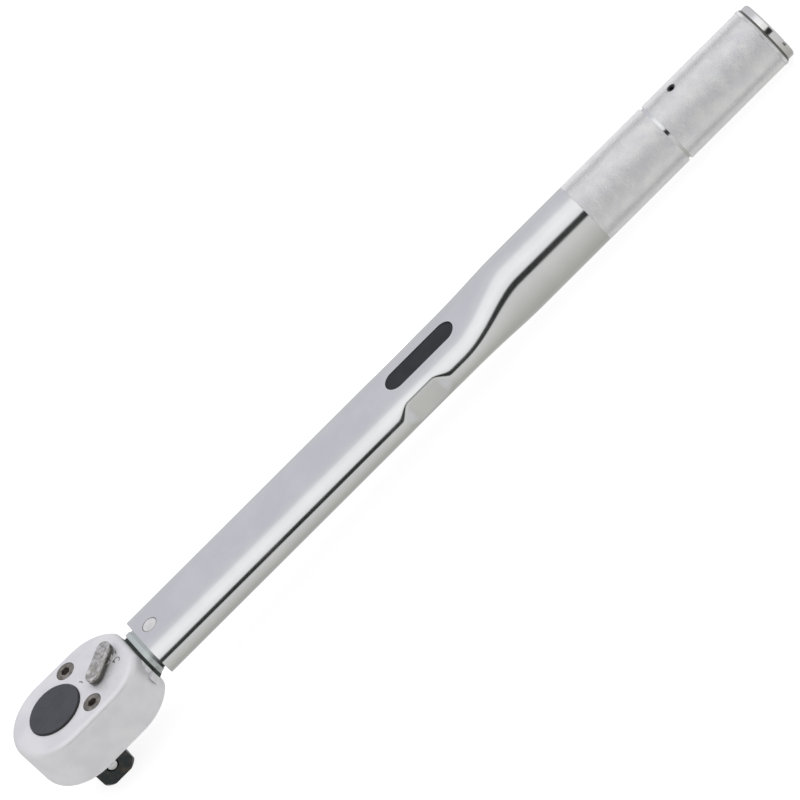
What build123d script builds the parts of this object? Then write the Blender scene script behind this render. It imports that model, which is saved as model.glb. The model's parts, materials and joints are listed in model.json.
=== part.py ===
from build123d import *
import math
import os

os.makedirs("parts", exist_ok=True)

# ---------------------------------------------------------------- driving dimensions (mm)
# Frame: origin at the centre of the square drive's end face, +Z up the drive axis,
# +X along the tube to the grip.

AXIS_Z = 24.7  # height of the tube's axis over the drive's end face
FIT = 0.05  # running clearance, radial
WIDE_FIT = 0.08  # the same for the larger journals
GAP = 0.3  # clearance between faces that move past each other

# Head
HEAD_BOTTOM_Z = 13.8
HEAD_TOP_Z = 33.6
HEAD_FRONT_X = -0.2
HEAD_FRONT_R = 17.7
HEAD_REAR_X = 15.6
HEAD_REAR_R = 17.5
HEAD_END_X = 31.3  # flat face the neck grows from
HEAD_CORNER_R = 3.0
HEAD_TOP_EDGE_R = 2.4
HEAD_BOTTOM_EDGE_R = 3.5
WALL_TOP_Z = 29.8  # underside of the head's top wall
PLATE_TOP_Z = 17.0  # inner face of the bottom plate
PLATE_SINK = 0.3  # depth of the plate's face below the head's bottom
PLATE_GEAR_MARGIN = 1.2  # plate's edge outside the gear's bore
PLATE_MARGIN = 1.3  # plate's edge outside the pawls and the cam
CHAMBER_GAP = 0.4
CHAMBER_CORNER = (20.6, 4.8)
CHAMBER_CORNER_R = 1.8

# Lever arm, one forging with the head
ARM_ROOT_X = 25.9  # inside the head
ARM_NECK_W = 20.8
ARM_H = 10.0
ARM_NECK_END_X = 50.0
ARM_TAPER_END_X = 60.0
ARM_TIP_W = 12.0
ARM_TIP_X = 122.0
ARM_EDGE = 1.4
WEB_RISE = 2.2  # how far the web under the neck spreads at the head
WEB_END_X = 34.4
NECK_GROOVE_W = 1.2  # groove between the head and the neck's collar
NECK_GROOVE_DEPTH = 0.8
COLLAR_L = 1.8
NECK_STEP = 0.4  # depth of the step behind the collar
NECK_STEP_L = 3.0
HEAD_PIN_X = 40.9
HEAD_PIN_R = 2.85
BUSH_R = 4.2

# Square drive and ratchet gear
SQUARE = 12.7
SQUARE_END_R = 7.2  # radius of the turned corner cone at the end face
SQUARE_CORNER_R = 9.0
SQUARE_CONE_Z = 3.2
TEETH = 36
GEAR_TIP_R = 12.0
GEAR_ROOT_R = 10.9
GAP_HALF = 1.03  # half-width of a gap just outside the tip circle
GEAR_BOTTOM_Z = 17.6
GEAR_TOP_Z = 29.5
GEAR_BORE_R = 12.35
HUB_R = 9.2
HUB_BOTTOM_Z = 14.0
CAP_R = 9.95
CAP_BOTTOM_Z = 31.6
CAP_TOP_Z = 34.35
CAP_SPIGOT_R = 4.0
CAP_SPIGOT_H = 1.4
DRIVE_BALL_R = 2.25
DRIVE_BALL_Y = -5.2
DRIVE_BALL_Z = 6.4
DRIVE_BALL_HOLE_END_Y = 1.0

# Pawls, their screws and springs
PAWL_PIVOT = (10.7, 11.05)
PAWL_BOSS_R = 2.9
PAWL_NOSE = (12.6, 5.88)
PAWL_NOSE_R = 1.3
PAWL_TAIL = (18.85, 2.72)
PAWL_TAIL_R = 1.1
PAWL_ANGLE = 25.0  # where the pawl's tooth meets the gear
PAWL_LIFT = 12.0  # degrees from engaged to lifted
PAWL_TIP_R = 11.15
PAWL_TOOTH_HALF = 0.72  # half-width of the pawl's tooth at the gear's tip circle
PAWL_BOTTOM_Z = 18.2
PAWL_TOP_Z = 28.8
PAWL_SPRING_AT = 0.6  # share of the way from the pivot to the tail
PAWL_SPRING_OFFSET = 2.05  # the tail's centre line to the spring's end
PAWL_SPRING_R = 1.3
PAWL_SPRING_L = 5.5
PAWL_SPRING_SQUEEZE = 1.9
SCREW_HEAD_R = 3.45
SCREW_HEAD_H = 3.3
SCREW_SHANK_R = 1.75
SCREW_HEX = 3.0  # across flats
SCREW_HEX_DEPTH = 2.0

# Reverse lever and its cam
LEVER_X = 22.8
LEVER_ANGLE = 36.7  # thumb tab away from -X, towards -Y
LEVER_LENGTH = 15.6
LEVER_W = 5.4
LEVER_FRONT = 10.2  # pivot to the thumb tab's end
LEVER_BOTTOM_Z = 34.6
LEVER_H = 2.3
LEVER_BOSS_R = 1.9
LEVER_BOSS_H = 0.3
DIMPLE_R = 5.3
DIMPLE_DEPTH = 0.5
DIMPLE_AT = 7.1  # pivot to the dimple's middle
CAM_R = 3.4
CAM_JOURNAL_R = 3.0
CAM_FOOT_R = 2.0
CAM_FINGER_R = 5.2
CAM_FINGER_W = 2.2
CAM_TANG = 3.3
CAM_TANG_H = 1.6
DETENT_BALL_R = 1.5
DETENT_R = 4.3  # ball centre from the cam's axis
DETENT_SEAT = 0.15  # how much deeper the seats are than the track
DETENT_Z = 23.4
DETENT_HOLE_END_X = 33.0

# Tube
TUBE_FRONT_X = 35.5
TUBE_FLAT = 6.2  # half-width of the top and bottom flats
TUBE_HALF_H = 6.5
SHOULDER_R = 9.3
SHOULDER_END = 36.5  # degrees over the horizontal where the shoulder meets the side arc
TUBE_R = 11.6
TUBE_WALL = 1.3
OVAL_END_X = 173.0
ROUND_START_X = 203.0
BLEND_STEPS = 5
ROUND_TOP_ANGLE = 15.0  # half-angle of the round section's top arc
TUBE_END_X = 315.3
PRESS_START_X = 143.5
FLAT_START_X = 150.4
FLAT_END_X = 160.6
PRESS_END_X = 167.5
PRESS_STEPS = 4
PRESS_CORNER = 62.0  # degrees where the pressed flat's rounded corner begins
PRESS_CORNER_R = 1.8
PRESS_FLAT_END = 2.0  # degrees left for the faint crown of the flat
WINDOW_X = 163.4
WINDOW_L = 29.6
WINDOW_W = 8.6
WINDOW_SINK = 0.15
GRIP_START_X = 233.6
GRIP_END_X = 313.4
GRIP_R = 11.4
GROOVE_X = 270.3
GROOVE_W = 1.0
GROOVE_R = 10.95

# Click mechanism and adjuster
TOGGLE_L = 8.4
TOGGLE_W = 6.0
TOGGLE_H = 8.0
TOGGLE_EDGE_R = 0.6  # the block rolls on these edges
SLIDER_L = 13.0
SLIDER_W = 23.6
SLIDER_H = 9.8
ROD_R = 4.0
SEAT_R = 9.9
ROD_DISC_X = 204.8
ROD_DISC_H = 4.2
WASHER_H = 1.0
SPRING_WIRE_R = 1.6
SPRING_R = 8.0
SPRING_TURNS = 9.5
REAR_SEAT_X = 262.0
REAR_SEAT_H = 4.0
REAR_SEAT_GUIDE_R = 5.6
REAR_SEAT_GUIDE_L = 8.0
THRUST_BALL_X = 270.6
THRUST_BALL_R = 2.5
SCREW_R = 5.0
SCREW_GAP = 0.6  # from the ball's centre to the faces of the seat and the screw
SCREW_FRONT_X = THRUST_BALL_X + SCREW_GAP
SCREW_CHAMFER = 0.6
SCREW_END_X = 296.0
SCREW_SOCKET = 6.0
NUT_X = 276.0
NUT_L = 12.0
LOCK_X = 281.5
LOCK_R = 1.5
LOCK_HEX = 1.5  # across flats
LOCK_BOTTOM_Z = AXIS_Z + SCREW_R + 1.0
LOCK_TOP_Z = AXIS_Z + GRIP_R - 0.3

# End cap
CAP_HEAD_R = 11.1
CAP_HEAD_L = 2.7
CAP_BODY_L = 10.3
CAP_SLOT_W = 1.6
CAP_SLOT_H = 1.2
O_RING_X = 308.0
O_RING_R = 9.55
O_RING_SECTION_R = 0.7
O_RING_GROOVE_W = 1.6

BORE_R = TUBE_R - TUBE_WALL
SLIDER_X = ARM_TIP_X + GAP + TOGGLE_L + GAP
SPRING_START_X = ROD_DISC_X + ROD_DISC_H + WASHER_H


def across(x):
    """Plane square to the tube at x: local x is +Y, local y is +Z, normal +X."""
    return Plane(origin=(x, 0, AXIS_Z), x_dir=(0, 1, 0), z_dir=(1, 0, 0))


def finish(part, label):
    """Label a finished piece and write its STEP file."""
    part.label = label
    export_step(part, f"parts/{label}.step")


# ---------------------------------------------------------------- tube


def oval_shape(inset):
    """Half-width of the flat, its half-angle, half-height, shoulder radius, corner radius, side's start."""
    radius = SHOULDER_R - inset
    return (TUBE_FLAT, 0.0, TUBE_HALF_H - inset, radius, radius, SHOULDER_END)


def pressed_shape(inset):
    """The oval with its sides pressed flat."""
    corner = PRESS_CORNER_R - inset
    return (TUBE_FLAT, 0.0, TUBE_HALF_H - inset, SHOULDER_R - inset, corner, PRESS_FLAT_END)


def round_shape(radius):
    """A circle written the same way."""
    flat = radius * math.sin(math.radians(ROUND_TOP_ANGLE))
    return (flat, ROUND_TOP_ANGLE, radius, radius, radius, SHOULDER_END)


def on_circle(center, radius, degrees):
    """Point of a circle at an angle over the horizontal."""
    angle = math.radians(degrees)
    return (center[0] + radius * math.cos(angle), center[1] + radius * math.sin(angle))


def quarter_points(shape):
    """Ends and middles of the shoulder, corner and side arcs, each tangent to the next."""
    flat, top_angle, half_h, shoulder_r, corner_r, side_start = shape
    drop = flat * math.tan(math.radians(top_angle / 2))
    start = (flat, half_h - drop)
    shoulder = on_circle(start, shoulder_r, 270 - top_angle)
    shoulder_mid = on_circle(shoulder, shoulder_r, (90 - top_angle + PRESS_CORNER) / 2)
    shoulder_end = on_circle(shoulder, shoulder_r, PRESS_CORNER)
    corner = on_circle(shoulder_end, corner_r, PRESS_CORNER + 180)
    corner_mid = on_circle(corner, corner_r, (PRESS_CORNER + side_start) / 2)
    corner_end = on_circle(corner, corner_r, side_start)
    side_r = corner_end[1] / math.sin(math.radians(side_start))
    side = (corner_end[0] + side_r * (1 - math.cos(math.radians(side_start))), 0)
    return start, shoulder_mid, shoulder_end, corner_mid, corner_end, side


def draw_section(shape):
    """Twelve-edged section mirrored both ways from one quarter."""
    start, shoulder_mid, shoulder_end, corner_mid, corner_end, side = quarter_points(shape)
    top_z = shape[2]
    with BuildLine() as outline:
        for z_sign in (1, -1):
            left = (-start[0], z_sign * start[1])
            right = (start[0], z_sign * start[1])
            if math.isclose(top_z, start[1]):
                Line(left, right)
            else:
                ThreePointArc(left, (0, z_sign * top_z), right)
            for y_sign in (1, -1):
                ThreePointArc(
                    (y_sign * start[0], z_sign * start[1]),
                    (y_sign * shoulder_mid[0], z_sign * shoulder_mid[1]),
                    (y_sign * shoulder_end[0], z_sign * shoulder_end[1]),
                )
                ThreePointArc(
                    (y_sign * shoulder_end[0], z_sign * shoulder_end[1]),
                    (y_sign * corner_mid[0], z_sign * corner_mid[1]),
                    (y_sign * corner_end[0], z_sign * corner_end[1]),
                )
        for y_sign in (1, -1):
            ThreePointArc(
                (y_sign * corner_end[0], corner_end[1]),
                (y_sign * side[0], 0),
                (y_sign * corner_end[0], -corner_end[1]),
            )
    make_face(outline.edges())


def blended(first, last, weight):
    """Shape between two others."""
    return [a + (b - a) * weight for a, b in zip(first, last)]


def flattened_tube(inset, radius, start_x, end_x):
    """Solid envelope: oval, pressed flats, oval again, then the blend to the round."""
    oval = oval_shape(inset)
    pressed = pressed_shape(inset)
    round_end = round_shape(radius)
    straights = (
        (oval, start_x, PRESS_START_X),
        (pressed, FLAT_START_X, FLAT_END_X),
        (oval, PRESS_END_X, OVAL_END_X),
        (round_end, ROUND_START_X, end_x),
    )
    blends = (
        (oval, pressed, PRESS_START_X, FLAT_START_X, PRESS_STEPS),
        (pressed, oval, FLAT_END_X, PRESS_END_X, PRESS_STEPS),
        (oval, round_end, OVAL_END_X, ROUND_START_X, BLEND_STEPS),
    )
    with BuildPart() as envelope:
        for shape, from_x, to_x in straights:
            with BuildSketch(across(from_x)):
                draw_section(shape)
            extrude(amount=to_x - from_x)
        for first, last, from_x, to_x, steps in blends:
            for step in range(steps + 1):
                t = step / steps
                with BuildSketch(across(from_x + (to_x - from_x) * t)):
                    draw_section(blended(first, last, t * t * (3 - 2 * t)))
            loft()
    return envelope.part


outer = flattened_tube(0, TUBE_R, TUBE_FRONT_X, TUBE_END_X)
inner = flattened_tube(TUBE_WALL, BORE_R, TUBE_FRONT_X - 1, TUBE_END_X + 1)

with BuildPart() as tube:
    add(outer)
    fillet(tube.edges().group_by(Axis.X)[-1], 0.9)
    # knurled zone, turned down a little, with the grip-centre groove
    with BuildSketch(across(GRIP_START_X)):
        Circle(TUBE_R + 1)
        Circle(GRIP_R, mode=Mode.SUBTRACT)
    extrude(amount=GRIP_END_X - GRIP_START_X, mode=Mode.SUBTRACT)
    with BuildSketch(across(GROOVE_X - GROOVE_W / 2)):
        Circle(TUBE_R + 1)
        Circle(GROOVE_R, mode=Mode.SUBTRACT)
    extrude(amount=GROOVE_W, mode=Mode.SUBTRACT)
    add(inner, mode=Mode.SUBTRACT)
    with BuildSketch(Plane.XY.offset(AXIS_Z)):
        with Locations((WINDOW_X, 0)):
            SlotOverall(WINDOW_L, WINDOW_W)
        with Locations((LOCK_X, 0)):
            Circle(LOCK_R)
    extrude(amount=TUBE_R + 1, mode=Mode.SUBTRACT)
    with Locations((HEAD_PIN_X, 0, AXIS_Z)):
        Cylinder(HEAD_PIN_R, 2 * TUBE_R, mode=Mode.SUBTRACT)
finish(tube.part, "tube")

with BuildPart() as head_pin:
    with Locations((HEAD_PIN_X, 0, AXIS_Z)):
        Cylinder(HEAD_PIN_R, 2 * TUBE_HALF_H)
    chamfer(head_pin.edges(), 0.3)
finish(head_pin.part, "head_pin")

with BuildPart() as window_plug:
    with BuildSketch(Plane.XY.offset(AXIS_Z + TUBE_HALF_H - WINDOW_SINK)):
        with Locations((WINDOW_X, 0)):
            SlotOverall(WINDOW_L, WINDOW_W)
    extrude(amount=-TUBE_WALL)
    chamfer(window_plug.faces().sort_by(Axis.Z)[-1].edges(), 0.25)
finish(window_plug.part, "window_plug")

# ---------------------------------------------------------------- head


def draw_chamber():
    """Pocket behind the gear for the two pawls and the cam."""
    for side in (1, -1):
        with Locations((PAWL_PIVOT[0], side * PAWL_PIVOT[1])):
            Circle(PAWL_BOSS_R + CHAMBER_GAP)
        with Locations((CHAMBER_CORNER[0], side * CHAMBER_CORNER[1])):
            Circle(CHAMBER_CORNER_R)
    with Locations((LEVER_X, 0)):
        Circle(CAM_R + CHAMBER_GAP)
    make_hull()


def draw_plate(clearance):
    """Outline of the bottom plate."""
    Circle(GEAR_BORE_R + PLATE_GEAR_MARGIN + clearance)
    for side in (1, -1):
        with Locations((PAWL_PIVOT[0], side * PAWL_PIVOT[1])):
            Circle(PAWL_BOSS_R + PLATE_MARGIN + clearance)
    with Locations((LEVER_X, 0)):
        Circle(CAM_R + PLATE_MARGIN + clearance)
    make_hull()


def pawl_spring_plane(side):
    """Plane on a pawl's tail, its normal pointing out along the spring's pocket."""
    dx = PAWL_TAIL[0] - PAWL_PIVOT[0]
    dy = PAWL_TAIL[1] - PAWL_PIVOT[1]
    length = math.hypot(dx, dy)
    x = PAWL_PIVOT[0] + PAWL_SPRING_AT * dx - dy / length * PAWL_SPRING_OFFSET
    y = PAWL_PIVOT[1] + PAWL_SPRING_AT * dy + dx / length * PAWL_SPRING_OFFSET
    middle_z = (PAWL_BOTTOM_Z + PAWL_TOP_Z) / 2
    return Plane(origin=(x, side * y, middle_z), z_dir=(-dy, side * dx, 0))


# neck and lever arm: a plan outline held inside an oval section
with BuildPart() as arm:
    with BuildSketch(Plane.XY.offset(AXIS_Z - ARM_H / 2)):
        with BuildLine():
            Polyline(
                (ARM_ROOT_X, ARM_NECK_W / 2),
                (ARM_NECK_END_X, ARM_NECK_W / 2),
                (ARM_TAPER_END_X, ARM_TIP_W / 2),
                (ARM_TIP_X, ARM_TIP_W / 2),
                (ARM_TIP_X, -ARM_TIP_W / 2),
                (ARM_TAPER_END_X, -ARM_TIP_W / 2),
                (ARM_NECK_END_X, -ARM_NECK_W / 2),
                (ARM_ROOT_X, -ARM_NECK_W / 2),
                close=True,
            )
        make_face()
    extrude(amount=ARM_H)
    chamfer(arm.edges().filter_by(Axis.X).group_by(Axis.X)[-1], ARM_EDGE)
    with BuildSketch(across(HEAD_REAR_X)):
        SlotOverall(ARM_NECK_W, ARM_H)
    extrude(amount=ARM_TIP_X, mode=Mode.INTERSECT)
    # groove beside the head and the step behind the collar
    with BuildSketch(across(HEAD_END_X)):
        Rectangle(2 * ARM_NECK_W, 2 * ARM_H)
        SlotOverall(ARM_NECK_W - 2 * NECK_GROOVE_DEPTH, ARM_H - 2 * NECK_GROOVE_DEPTH, mode=Mode.SUBTRACT)
    extrude(amount=NECK_GROOVE_W, mode=Mode.SUBTRACT)
    with BuildSketch(across(HEAD_END_X + NECK_GROOVE_W + COLLAR_L)):
        Rectangle(2 * ARM_NECK_W, 2 * ARM_H)
        SlotOverall(ARM_NECK_W - 2 * NECK_STEP, ARM_H - 2 * NECK_STEP, mode=Mode.SUBTRACT)
    extrude(amount=NECK_STEP_L, mode=Mode.SUBTRACT)

with BuildPart() as neck_web:
    with BuildSketch(across(HEAD_END_X - WEB_RISE)):
        SlotOverall(ARM_NECK_W + 2 * WEB_RISE, ARM_H + 2 * WEB_RISE)
    with BuildSketch(across(WEB_END_X)):
        SlotOverall(ARM_NECK_W - 2 * NECK_STEP, ARM_H - 2 * NECK_STEP)
    loft()
    with BuildSketch(Plane.XY.offset(AXIS_Z)):
        with Locations((HEAD_END_X, 0)):
            Rectangle(4 * ARM_NECK_W, 4 * ARM_NECK_W)
    extrude(amount=ARM_H, mode=Mode.SUBTRACT)

with BuildPart() as head_housing:
    with BuildSketch(Plane.XY.offset(HEAD_BOTTOM_Z)):
        with Locations((HEAD_FRONT_X, 0)):
            Circle(HEAD_FRONT_R)
        with Locations((HEAD_REAR_X, 0)):
            Circle(HEAD_REAR_R)
        make_hull()
        with Locations((HEAD_END_X + HEAD_REAR_R, 0)):
            Rectangle(2 * HEAD_REAR_R, 3 * HEAD_REAR_R, mode=Mode.SUBTRACT)
    extrude(amount=HEAD_TOP_Z - HEAD_BOTTOM_Z)
    fillet(head_housing.edges().filter_by(Axis.Z).group_by(Axis.X)[-1], HEAD_CORNER_R)
    fillet(head_housing.faces().sort_by(Axis.Z)[-1].edges(), HEAD_TOP_EDGE_R)
    fillet(head_housing.faces().sort_by(Axis.Z)[0].edges(), HEAD_BOTTOM_EDGE_R)
    add(arm.part)
    add(neck_web.part)
    with Locations((HEAD_PIN_X, 0, AXIS_Z)):
        Cylinder(BUSH_R, ARM_H + 2, mode=Mode.SUBTRACT)
    # gear bore, pawl chamber and bottom plate seat
    with BuildSketch(Plane.XY.offset(HEAD_BOTTOM_Z)):
        Circle(GEAR_BORE_R)
    extrude(amount=WALL_TOP_Z - HEAD_BOTTOM_Z, mode=Mode.SUBTRACT)
    with BuildSketch(Plane.XY.offset(HEAD_BOTTOM_Z)):
        draw_chamber()
    extrude(amount=WALL_TOP_Z - HEAD_BOTTOM_Z, mode=Mode.SUBTRACT)
    with BuildSketch(Plane.XY.offset(HEAD_BOTTOM_Z)):
        draw_plate(FIT)
    extrude(amount=PLATE_TOP_Z - HEAD_BOTTOM_Z, mode=Mode.SUBTRACT)
    # holes in the top wall: cap, cam journal, pawl screws
    with BuildSketch(Plane.XY.offset(WALL_TOP_Z)):
        Circle(CAP_R + WIDE_FIT)
        with Locations((LEVER_X, 0)):
            Circle(CAM_JOURNAL_R + FIT)
        with Locations(PAWL_PIVOT, (PAWL_PIVOT[0], -PAWL_PIVOT[1])):
            Circle(SCREW_SHANK_R + FIT)
    extrude(amount=HEAD_TOP_Z - WALL_TOP_Z, mode=Mode.SUBTRACT)
    with BuildSketch(Plane.XY.offset(HEAD_TOP_Z - SCREW_HEAD_H)):
        with Locations(PAWL_PIVOT, (PAWL_PIVOT[0], -PAWL_PIVOT[1])):
            Circle(SCREW_HEAD_R + FIT)
    extrude(amount=SCREW_HEAD_H, mode=Mode.SUBTRACT)
    # pockets for the pawl springs and the lever's detent
    for side in (1, -1):
        with BuildSketch(pawl_spring_plane(side)):
            Circle(PAWL_SPRING_R + 0.5)
        extrude(amount=PAWL_SPRING_L + 0.2, mode=Mode.SUBTRACT)
    with BuildSketch(Plane(origin=(LEVER_X, 0, DETENT_Z), x_dir=(0, 1, 0), z_dir=(1, 0, 0))):
        Circle(DETENT_BALL_R + FIT)
    extrude(amount=DETENT_HOLE_END_X - LEVER_X, mode=Mode.SUBTRACT)
finish(head_housing.part, "head_housing")

with BuildPart() as pivot_bush:
    with Locations((HEAD_PIN_X, 0, AXIS_Z)):
        Cylinder(BUSH_R, ARM_H)
        Cylinder(HEAD_PIN_R + FIT, ARM_H + 2, mode=Mode.SUBTRACT)
finish(pivot_bush.part, "pivot_bush")

with BuildPart() as bottom_plate:
    with BuildSketch(Plane.XY.offset(HEAD_BOTTOM_Z + PLATE_SINK)):
        draw_plate(0)
        Circle(HUB_R + WIDE_FIT, mode=Mode.SUBTRACT)
        with Locations((LEVER_X, 0)):
            Circle(CAM_FOOT_R + FIT, mode=Mode.SUBTRACT)
        with Locations(PAWL_PIVOT, (PAWL_PIVOT[0], -PAWL_PIVOT[1])):
            Circle(SCREW_SHANK_R, mode=Mode.SUBTRACT)
    extrude(amount=PLATE_TOP_Z - HEAD_BOTTOM_Z - PLATE_SINK)
finish(bottom_plate.part, "bottom_plate")

with BuildPart() as gear_washer:
    with BuildSketch(Plane.XY.offset(PLATE_TOP_Z)):
        Circle(GEAR_TIP_R)
        Circle(HUB_R + 0.4, mode=Mode.SUBTRACT)
    extrude(amount=0.3)
finish(gear_washer.part, "gear_washer")

with BuildPart() as pawl_screws:
    with Locations(PAWL_PIVOT, (PAWL_PIVOT[0], -PAWL_PIVOT[1])):
        with Locations((0, 0, HEAD_TOP_Z - SCREW_HEAD_H / 2)):
            Cylinder(SCREW_HEAD_R, SCREW_HEAD_H)
    chamfer(pawl_screws.faces().filter_by(Axis.Z).group_by(Axis.Z)[-1].edges(), 0.35)
    with BuildSketch(Plane.XY.offset(HEAD_BOTTOM_Z + PLATE_SINK)):
        with Locations(PAWL_PIVOT, (PAWL_PIVOT[0], -PAWL_PIVOT[1])):
            Circle(SCREW_SHANK_R)
    extrude(until=Until.NEXT)
    with BuildSketch(Plane.XY.offset(HEAD_TOP_Z)):
        with Locations(PAWL_PIVOT, (PAWL_PIVOT[0], -PAWL_PIVOT[1])):
            RegularPolygon(SCREW_HEX / 2, 6, major_radius=False)
    extrude(amount=-SCREW_HEX_DEPTH, mode=Mode.SUBTRACT)
finish(pawl_screws.part, "pawl_screws")

# ---------------------------------------------------------------- ratchet gear and drive

with BuildPart() as ratchet_gear:
    with BuildSketch(Plane.XY):
        Rectangle(SQUARE, SQUARE)
    extrude(amount=HUB_BOTTOM_Z + 1)
    with BuildSketch(Plane.XZ):
        with BuildLine():
            Polyline(
                (0, 0),
                (SQUARE_END_R, 0),
                (SQUARE_CORNER_R, SQUARE_CONE_Z),
                (SQUARE_CORNER_R, HEAD_TOP_Z),
                (0, HEAD_TOP_Z),
                close=True,
            )
        make_face()
    revolve(axis=Axis.Z, mode=Mode.INTERSECT)
    with BuildSketch(Plane.XY.offset(HUB_BOTTOM_Z)):
        Circle(HUB_R)
    extrude(amount=GEAR_BOTTOM_Z - HUB_BOTTOM_Z)
    # toothed ring: V gaps between the teeth
    with BuildSketch(Plane.XY.offset(GEAR_BOTTOM_Z)):
        Circle(GEAR_TIP_R)
        with PolarLocations(0, TEETH, start_angle=180 / TEETH):
            Polygon(
                (GEAR_ROOT_R, 0),
                (GEAR_TIP_R + 0.2, -GAP_HALF),
                (GEAR_TIP_R + 0.2, GAP_HALF),
                align=None,
                mode=Mode.SUBTRACT,
            )
    extrude(amount=GEAR_TOP_Z - GEAR_BOTTOM_Z)
    with BuildSketch(Plane.XY.offset(GEAR_TOP_Z)):
        Circle(CAP_R)
    extrude(amount=CAP_BOTTOM_Z - GEAR_TOP_Z)
    with BuildSketch(Plane.XY.offset(CAP_BOTTOM_Z)):
        Circle(CAP_SPIGOT_R)
    extrude(amount=-CAP_SPIGOT_H, mode=Mode.SUBTRACT)
    with BuildSketch(Plane(origin=(0, DRIVE_BALL_HOLE_END_Y, DRIVE_BALL_Z), z_dir=(0, -1, 0))):
        Circle(DRIVE_BALL_R + FIT)
    extrude(amount=SQUARE, mode=Mode.SUBTRACT)
finish(ratchet_gear.part, "ratchet_gear")

with BuildPart() as drive_cap:
    with BuildSketch(Plane.XY.offset(CAP_BOTTOM_Z)):
        Circle(CAP_R)
    extrude(amount=CAP_TOP_Z - CAP_BOTTOM_Z)
    chamfer(drive_cap.edges().sort_by(Axis.Z)[-1], 0.4)
    with BuildSketch(Plane.XY.offset(CAP_BOTTOM_Z)):
        Circle(CAP_SPIGOT_R)
    extrude(amount=-CAP_SPIGOT_H)
finish(drive_cap.part, "drive_cap")

with BuildPart() as drive_ball:
    with Locations((0, DRIVE_BALL_Y, DRIVE_BALL_Z)):
        Sphere(DRIVE_BALL_R)
finish(drive_ball.part, "drive_ball")

# ---------------------------------------------------------------- springs


def make_spring(label, start, direction, length, radius, wire_r, turns):
    """Open coil spring that fills length along direction."""
    rise = length - 2 * wire_r
    unit = Vector(direction).normalized()
    with BuildPart() as spring:
        with BuildLine():
            coil = Helix(
                pitch=rise / turns,
                height=rise,
                radius=radius,
                center=Vector(start) + unit * wire_r,
                direction=direction,
            )
        with BuildSketch(Plane(origin=coil @ 0, z_dir=coil % 0)):
            Circle(wire_r)
        sweep(path=coil, is_frenet=True)
    finish(spring.part, label)


ball_back_y = DRIVE_BALL_Y + DRIVE_BALL_R
make_spring(
    "drive_ball_spring",
    (0, ball_back_y, DRIVE_BALL_Z),
    (0, 1, 0),
    DRIVE_BALL_HOLE_END_Y - ball_back_y,
    1.6,
    0.25,
    3.5,
)
make_spring(
    "lever_detent_spring",
    (LEVER_X + DETENT_R + DETENT_BALL_R, 0, DETENT_Z),
    (1, 0, 0),
    DETENT_HOLE_END_X - LEVER_X - DETENT_R - DETENT_BALL_R,
    1.1,
    0.2,
    4,
)
make_spring(
    "main_spring",
    (SPRING_START_X, 0, AXIS_Z),
    (1, 0, 0),
    REAR_SEAT_X - SPRING_START_X,
    SPRING_R,
    SPRING_WIRE_R,
    SPRING_TURNS,
)
for spring_side, spring_name, squeeze in (
    (1, "left_pawl_spring", 0.0),
    (-1, "right_pawl_spring", PAWL_SPRING_SQUEEZE),
):
    seat = pawl_spring_plane(spring_side)
    make_spring(
        spring_name,
        seat.origin + seat.z_dir * squeeze,
        seat.z_dir,
        PAWL_SPRING_L - squeeze,
        PAWL_SPRING_R,
        0.2,
        4,
    )

# ---------------------------------------------------------------- pawls


def make_pawl(side):
    """One pawl in its engaged place: side 1 is left (+Y), side -1 is right (-Y)."""
    tooth = Plane(
        origin=(0, 0, PAWL_BOTTOM_Z),
        x_dir=(math.cos(math.radians(PAWL_ANGLE)), side * math.sin(math.radians(PAWL_ANGLE)), 0),
        z_dir=(0, 0, 1),
    )
    pivot = (PAWL_PIVOT[0], side * PAWL_PIVOT[1])
    nose = (PAWL_NOSE[0], side * PAWL_NOSE[1])
    tail = (PAWL_TAIL[0], side * PAWL_TAIL[1])
    with BuildPart() as pawl:
        for end, end_r in ((nose, PAWL_NOSE_R), (tail, PAWL_TAIL_R)):
            with BuildSketch(Plane.XY.offset(PAWL_BOTTOM_Z)):
                with Locations(pivot):
                    Circle(PAWL_BOSS_R)
                with Locations(end):
                    Circle(end_r)
                make_hull()
            extrude(amount=PAWL_TOP_Z - PAWL_BOTTOM_Z)
        with BuildSketch(tooth):
            with BuildLine():
                Polyline(
                    (PAWL_TIP_R, 0),
                    (GEAR_TIP_R, PAWL_TOOTH_HALF),
                    (PAWL_NOSE[0] / math.cos(math.radians(PAWL_ANGLE)), PAWL_TOOTH_HALF),
                    (PAWL_NOSE[0] / math.cos(math.radians(PAWL_ANGLE)), -PAWL_TOOTH_HALF),
                    (GEAR_TIP_R, -PAWL_TOOTH_HALF),
                    close=True,
                )
            make_face()
        extrude(amount=PAWL_TOP_Z - PAWL_BOTTOM_Z)
        with BuildSketch(Plane.XY.offset(PAWL_BOTTOM_Z)):
            with Locations(pivot):
                Circle(SCREW_SHANK_R + FIT)
        extrude(amount=PAWL_TOP_Z - PAWL_BOTTOM_Z, mode=Mode.SUBTRACT)
    return pawl.part


left_pawl = make_pawl(1)
finish(left_pawl, "left_pawl")

# the right pawl rests lifted by the cam
right_axis = Axis((PAWL_PIVOT[0], -PAWL_PIVOT[1], 0), (0, 0, 1))
right_pawl = make_pawl(-1).rotate(right_axis, -PAWL_LIFT)
finish(right_pawl, "right_pawl")

# ---------------------------------------------------------------- reverse lever and cam

lever_turn = math.radians(LEVER_ANGLE)
LEVER_DIR = (-math.cos(lever_turn), -math.sin(lever_turn), 0)
lever_plane = Plane(origin=(LEVER_X, 0, LEVER_BOTTOM_Z), x_dir=LEVER_DIR, z_dir=(0, 0, 1))

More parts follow.
